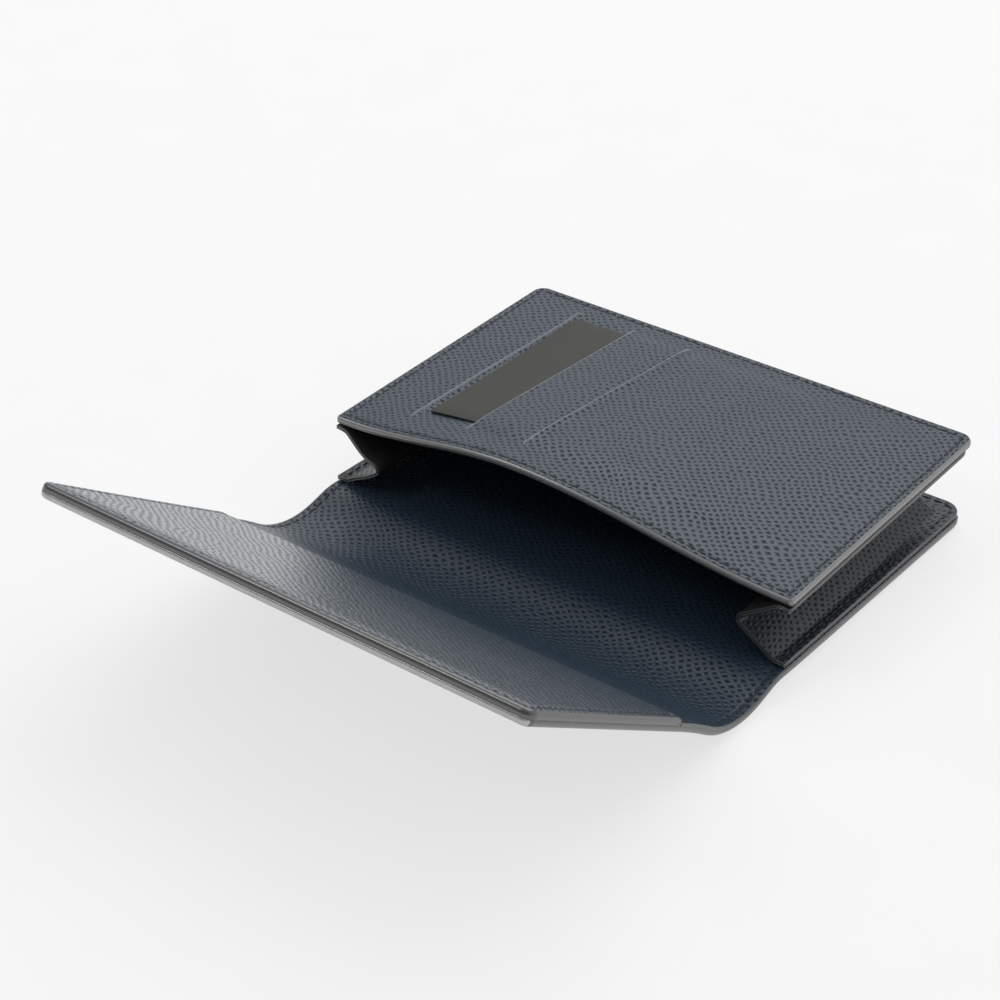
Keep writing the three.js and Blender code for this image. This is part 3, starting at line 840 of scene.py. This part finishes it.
card_stock = bpy.data.materials.new("card_stock")
card_tree, card_surface = plain_nodes(card_stock)
card_where = card_tree.nodes.new("ShaderNodeTexCoord")
card_fibre = card_tree.nodes.new("ShaderNodeTexNoise")
card_fibre.inputs["Scale"].default_value = 1100
card_fibre.inputs["Detail"].default_value = 4
card_tone = card_tree.nodes.new("ShaderNodeMix")
card_tone.data_type = "RGBA"
card_tone.inputs["A"].default_value = (0.022, 0.0215, 0.019, 1)
card_tone.inputs["B"].default_value = (0.036, 0.0345, 0.030, 1)
card_bump = card_tree.nodes.new("ShaderNodeBump")
card_bump.inputs["Strength"].default_value = 0.5
card_bump.inputs["Distance"].default_value = 0.00006
card_tree.links.new(card_where.outputs["Object"], card_fibre.inputs["Vector"])
card_tree.links.new(card_fibre.outputs["Fac"], card_tone.inputs["Factor"])
card_tree.links.new(card_tone.outputs["Result"], card_surface.inputs["Base Color"])
card_tree.links.new(card_fibre.outputs["Fac"], card_bump.inputs["Height"])
card_tree.links.new(card_bump.outputs["Normal"], card_surface.inputs["Normal"])
card_surface.inputs["Roughness"].default_value = 0.62

card_bm = bmesh.new()
bmesh.ops.create_cube(card_bm, size=1)
bmesh.ops.scale(
    card_bm, vec=(CARD_RIGHT - CARD_LEFT, CARD_BACK - CARD_FRONT, CARD_THICKNESS),
    verts=card_bm.verts[:])
bmesh.ops.translate(
    card_bm, vec=((CARD_LEFT + CARD_RIGHT) / 2, (CARD_BACK + CARD_FRONT) / 2,
                  (CARD_LOW + CARD_HIGH) / 2), verts=card_bm.verts[:])
slice_flat(card_bm, evenly(CARD_LEFT, CARD_RIGHT, 0.003), evenly(CARD_FRONT, CARD_BACK, 0.004))
for vert in card_bm.verts:
    curl = smooth((CARD_FRONT + 0.010 - vert.co.y) / 0.010)
    vert.co.z += 0.0002 * curl * smooth((SLIT_PLACES[1] - vert.co.x) / 0.008)
card_rim = [e for e in card_bm.edges if e.calc_face_angle(0) > 1]
bmesh.ops.bevel(card_bm, geom=card_rim, offset=0.00006, segments=2, profile=0.5,
                affect="EDGES", material=-1)
for face in card_bm.faces:
    face.smooth = True
form(card_bm, place_on_panel)
card = make_piece("card", card_bm, (card_stock,))
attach(card, "insert")
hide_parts("insert_card")

# ---------------------------------------------------------------- gusset
# One soft strip of grained calf over one of black lining runs round three sides. It is stitched
# flat to both panels, folds inward between them and is gathered at the two back corners.

MARGIN_AT_MOUTH = 0.0022
MARGIN_AT_BACK = 0.0034
GUSSET_LEG = 0.0093
GUSSET_BASE = 0.0014
FOLD_BEND = 0.0010
APEX_BEND = 0.0007
APEX_INSET = 0.0117
APEX_CORNER = 0.0009
PLEATS = 5
PLEAT_DEPTH = 0.00035
WAVE_DEPTH = 0.00022
GUSSET_SAG = 0.0011
LEFT_SLACK = 3.2
RIGHT_SLACK = 0.2

side_run = CASE_DEPTH - BACK_CORNER
corner_run = math.pi / 2 * BACK_CORNER
back_run = CASE_WIDTH - 2 * BACK_CORNER
gusset_run = 2 * side_run + 2 * corner_run + back_run
GUSSET_WIDE = 2 * (MARGIN_AT_BACK + GUSSET_LEG) + 0.0030


def gusset_path(s):
    """A point on the panel's outline, the fold line inside it, and a gathering amount."""
    half = CASE_WIDTH / 2
    mirror = -1 if s < gusset_run / 2 else 1
    s = min(s, gusset_run - s)
    if s < side_run:
        y = -CASE_DEPTH + s
        inner_y = -CASE_DEPTH + s * (CASE_DEPTH - APEX_INSET - APEX_CORNER) / side_run
        return (mirror * half, y), (mirror * (half - APEX_INSET), inner_y), 0.0
    if s < side_run + corner_run:
        angle = (s - side_run) / BACK_CORNER
        centre = half - BACK_CORNER
        inner = half - APEX_INSET - APEX_CORNER
        outer = (mirror * (centre + BACK_CORNER * math.cos(angle)),
                 -BACK_CORNER + BACK_CORNER * math.sin(angle))
        fold = (mirror * (inner + APEX_CORNER * math.cos(angle)),
                -APEX_INSET - APEX_CORNER + APEX_CORNER * math.sin(angle))
        return outer, fold, math.sin(2 * angle)
    x = half - BACK_CORNER - (s - side_run - corner_run)
    inner_x = x * (half - APEX_INSET - APEX_CORNER) / (half - BACK_CORNER)
    return (mirror * x, 0.0), (mirror * inner_x, -APEX_INSET), 0.0


def gusset_section(v, depth, rise, margin):
    """Across the folded strip: inset from the edge, and height, at a distance v across it."""
    low, high = 0.0, math.radians(80)
    for _ in range(26):
        angle = (low + high) / 2
        half_rise = (FOLD_BEND * (1 - math.cos(angle)) + GUSSET_LEG * math.sin(angle)
                     + APEX_BEND * math.cos(angle))
        low, high = (angle, high) if half_rise < rise / 2 else (low, angle)
    runs = [(margin, 0.0), (FOLD_BEND * angle, angle), (GUSSET_LEG, 0.0),
            (APEX_BEND * (math.pi / 2 - angle), math.pi / 2 - angle)]
    runs = runs + [(length, bend) for length, bend in reversed(runs)]
    total = sum(length for length, bend in runs)
    left = v * total
    inset = height = heading = 0.0
    for length, bend in runs:
        share = min(left / length, 1.0)
        turn = bend * share
        chord = length * share
        if abs(turn) > 1e-9:
            chord *= math.sin(turn / 2) / (turn / 2)
        inset += chord * math.cos(heading + turn / 2)
        height += chord * math.sin(heading + turn / 2)
        heading += turn
        left -= length * share
        if share < 1:
            break
    return inset + depth * math.sin(heading) + 0.0003, height - depth * math.cos(heading)


def fold_gusset(point):
    """Takes a point of the flat strip (length, width, depth) to its folded place."""
    outer, fold, gather = gusset_path(min(max(point.x, 0), gusset_run))
    v = min(max(point.y / GUSSET_WIDE, 0), 1)
    across = math.sin(math.pi * v) ** 2 * (1 - 0.6 * math.sin(math.pi * v) ** 8)
    pleat = PLEAT_DEPTH * gather * math.sin(point.x * math.pi / (corner_run / PLEATS))
    soft = WAVE_DEPTH * math.sin(point.x * 190 + 3 * v) * math.sin(point.x * 77 + 1.0)
    rise = PANEL_HEIGHT + outer[1] * math.sin(PANEL_TILT) - 2 * GUSSET_BASE - 0.00005
    margin = MARGIN_AT_MOUTH + (MARGIN_AT_BACK - MARGIN_AT_MOUTH) * smooth(1 + outer[1] / 0.06)
    depth = -point.z + (pleat + soft) * across
    inset, height = gusset_section(v, depth, rise, margin)
    slack = LEFT_SLACK if point.x < gusset_run / 2 else RIGHT_SLACK
    sag = 1 - GUSSET_SAG / rise * across * slack
    share = inset / APEX_INSET
    return Vector((
        outer[0] + (fold[0] - outer[0]) * share,
        outer[1] + (fold[1] - outer[1]) * share,
        GUSSET_BASE + height * sag,
    ))


def gusset_layer(name, top, thickness, materials, replaced):
    """One layer of the gusset, cut flat and folded, its front ends painted."""
    bm = bmesh.new()
    bmesh.ops.create_cube(bm, size=1)
    bmesh.ops.scale(bm, vec=(gusset_run, GUSSET_WIDE, thickness), verts=bm.verts[:])
    bmesh.ops.translate(
        bm, vec=(gusset_run / 2, GUSSET_WIDE / 2, top - thickness / 2), verts=bm.verts[:])
    rim = [e for e in bm.edges if abs(e.verts[0].co.z - e.verts[1].co.z) < 1e-6]
    bmesh.ops.bevel(bm, geom=rim, offset=thickness * 0.3, segments=2, profile=0.5,
                    affect="EDGES", material=-1)
    stops = evenly(0, side_run, 0.0025) + evenly(side_run, side_run + corner_run, 0.00035)
    stops += [side_run, side_run + corner_run]
    stops += [gusset_run - s for s in stops]
    stops += evenly(side_run + corner_run, gusset_run - side_run - corner_run, 0.0045)
    slice_flat(bm, stops, evenly(0, GUSSET_WIDE, 0.0007))
    bm.normal_update()
    uv = bm.loops.layers.uv.new("flat")
    for face in bm.faces:
        face.smooth = True
        face.material_index = 1 if abs(face.normal.z) < 0.8 else 0
        for loop in face.loops:
            loop[uv].uv = (loop.vert.co.x, loop.vert.co.y)
    form(bm, fold_gusset)
    piece = make_piece(name, bm, materials)
    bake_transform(piece)
    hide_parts(*replaced)
    return piece


# The gusset's colours are darker than the cover's, though it is the same calf: a painted shade for the
# strip folded in under the panels.
gusset_grain_painted_shade = grained_leather(
    "gusset_grain_painted_shade", dye=(0.006, 0.009, 0.014), painted_ridge_sheen=(0.012, 0.017, 0.025), roughness=0.42,
    depth=0.00018, gloss=0.1)
gusset_layer(
    "gusset_calf", 0.0, 0.0006, (gusset_grain_painted_shade, black_paint),
    ("gusset_left_leather", "gusset_right_leather", "gusset_bottom_leather"))
gusset_layer(
    "gusset_inside", -0.00062, 0.0004, (black_lining, black_paint),
    ("gusset_left_lining", "gusset_right_lining", "gusset_bottom_lining"))

# ---------------------------------------------------------------- stitching
# Waxed navy thread, saddle-stitched by hand in a pricked row: short stitches that sink at both
# ends, round the front panel, through the gusset's margin and round the strip's edge.

STITCH_PITCH = 0.0026
STITCH_LENGTH = 0.0021
STITCH_WIDTH = 0.00058
STITCH_HEIGHT = 0.00042
STITCH_STAND = 0.00010

waxed_thread = bpy.data.materials.new("waxed_thread")
thread_tree, thread_surface = plain_nodes(waxed_thread)
thread_flat = thread_tree.nodes.new("ShaderNodeUVMap")
thread_flat.uv_map = "flat"
thread_twist = thread_tree.nodes.new("ShaderNodeTexWave")
thread_twist.inputs["Scale"].default_value = 1400
thread_twist.inputs["Distortion"].default_value = 0.8
thread_twist.bands_direction = "DIAGONAL"
thread_tone = thread_tree.nodes.new("ShaderNodeMix")
thread_tone.data_type = "RGBA"
thread_tone.inputs["A"].default_value = (0.004, 0.006, 0.011, 1)
thread_tone.inputs["B"].default_value = (0.009, 0.013, 0.023, 1)
thread_bump = thread_tree.nodes.new("ShaderNodeBump")
thread_bump.inputs["Strength"].default_value = 0.7
thread_bump.inputs["Distance"].default_value = 0.00006
thread_tree.links.new(thread_flat.outputs["UV"], thread_twist.inputs["Vector"])
thread_tree.links.new(thread_twist.outputs["Fac"], thread_tone.inputs["Factor"])
thread_tree.links.new(thread_tone.outputs["Result"], thread_surface.inputs["Base Color"])
thread_tree.links.new(thread_twist.outputs["Fac"], thread_bump.inputs["Height"])
thread_tree.links.new(thread_bump.outputs["Normal"], thread_surface.inputs["Normal"])
thread_surface.inputs["Roughness"].default_value = 0.5


def seam_line(outline, inset):
    """A rounded outline at the seam's inset, as closely spaced points, once round."""
    half, start, end, start_corner, end_corner = outline
    points = []
    for x_sign, y, corner, first in ((1, end, end_corner, -90), (1, start, start_corner, 0),
                                     (-1, start, start_corner, 90), (-1, end, end_corner, 180)):
        radius = max(corner - inset, 0.0006)
        inward = -1 if y == start else 1
        centre_x = x_sign * (half - inset - radius)
        centre_y = y + inward * (inset + radius)
        for step in range(7):
            angle = math.radians(first + 15 * step)
            points.append(Vector((centre_x + radius * math.cos(angle),
                                  centre_y + radius * math.sin(angle))))
    return points + [points[0]]


def stitches(outline, height, keep, thread_height=STITCH_HEIGHT):
    """Stitches laid flat along the seam inset inside an outline, wherever keep allows."""
    line = seam_line(outline, SEAM_INSET)
    lengths = [(b - a).length for a, b in zip(line, line[1:])]
    count = round(sum(lengths) / STITCH_PITCH)
    pitch = sum(lengths) / count
    bm = bmesh.new()
    reached, segment = 0.0, 0
    for i in range(count):
        target = (i + 0.5) * pitch
        while reached + lengths[segment] < target:
            reached += lengths[segment]
            segment += 1
        along = (line[segment + 1] - line[segment]).normalized()
        spot = line[segment] + along * (target - reached)
        if not keep(spot.y):
            continue
        made = bmesh.ops.create_uvsphere(bm, u_segments=8, v_segments=7, radius=0.5)
        turn = Matrix.Rotation(math.atan2(along.y, along.x) + 0.10, 4, "Z")
        size = Matrix.Diagonal((STITCH_LENGTH, STITCH_WIDTH, thread_height, 1))
        stand = Matrix.Rotation(math.radians(90), 4, "Y")
        place = Matrix.Translation((spot.x, spot.y, height)) @ turn @ size @ stand
        bmesh.ops.transform(bm, matrix=place, verts=made["verts"])
    uv = bm.loops.layers.uv.new("flat")
    for face in bm.faces:
        face.smooth = True
        for loop in face.loops:
            loop[uv].uv = (loop.vert.co.x, loop.vert.co.y)
    return bm


def sewn(name, bm, shape, replaced):
    form(bm, shape)
    piece = make_piece(name, bm, (waxed_thread,))
    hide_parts(*replaced)
    return piece


front_stitches = sewn(
    "front_stitches", stitches(panel_outline, PANEL_TOP - CHANNEL_DEPTH + STITCH_STAND, lambda y: True),
    place_on_panel, ("front_seam_thread",))
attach(front_stitches, "front_panel")

base_outline = (CASE_WIDTH / 2, 0.0, -2 * CASE_DEPTH, BACK_CORNER, 0.0)
base_stitches = sewn(
    "base_stitches",
    stitches(base_outline, GUSSET_BASE + 0.00004, lambda y: y > -CASE_DEPTH + 0.0015),
    lambda point: point, ("back_seam_thread",))
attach(base_stitches, "back")

spine_stitches = sewn(
    "spine_stitches",
    stitches(cover_outline, 0.0 - CHANNEL_DEPTH + STITCH_STAND,
             lambda y: -STRIP_CUT < y < -CASE_DEPTH - 0.0005),
    fold_strip, ("spine_left_thread", "spine_right_thread"))
across_spine(spine_stitches)

crease_stitches = sewn(
    "crease_stitches",
    stitches(cover_outline, 0.0 - CHANNEL_DEPTH + STITCH_STAND,
             lambda y: -FLAP_CREASE - FACING_START + 0.001 < y < -STRIP_CUT),
    fold_strip, ())
across_flap_crease(crease_stitches)

flap_stitches = sewn(
    "flap_stitches",
    stitches(cover_outline, FACING_TOP - CHANNEL_DEPTH + STITCH_STAND,
             lambda y: y < -FLAP_CREASE - FACING_START - 0.001),
    fold_strip, ("flap_seam_thread",))
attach(flap_stitches, "flap")

# ---------------------------------------------------------------- board inside
# Grey fibre board stiffens the back, closed in between the cover and the lining.

fibre_board = smooth_lining("fibre_board", (0.12, 0.11, 0.10), 0.85)
back_board = bpy.data.objects["back_board"]
back_board.data.materials.clear()
back_board.data.materials.append(fibre_board)
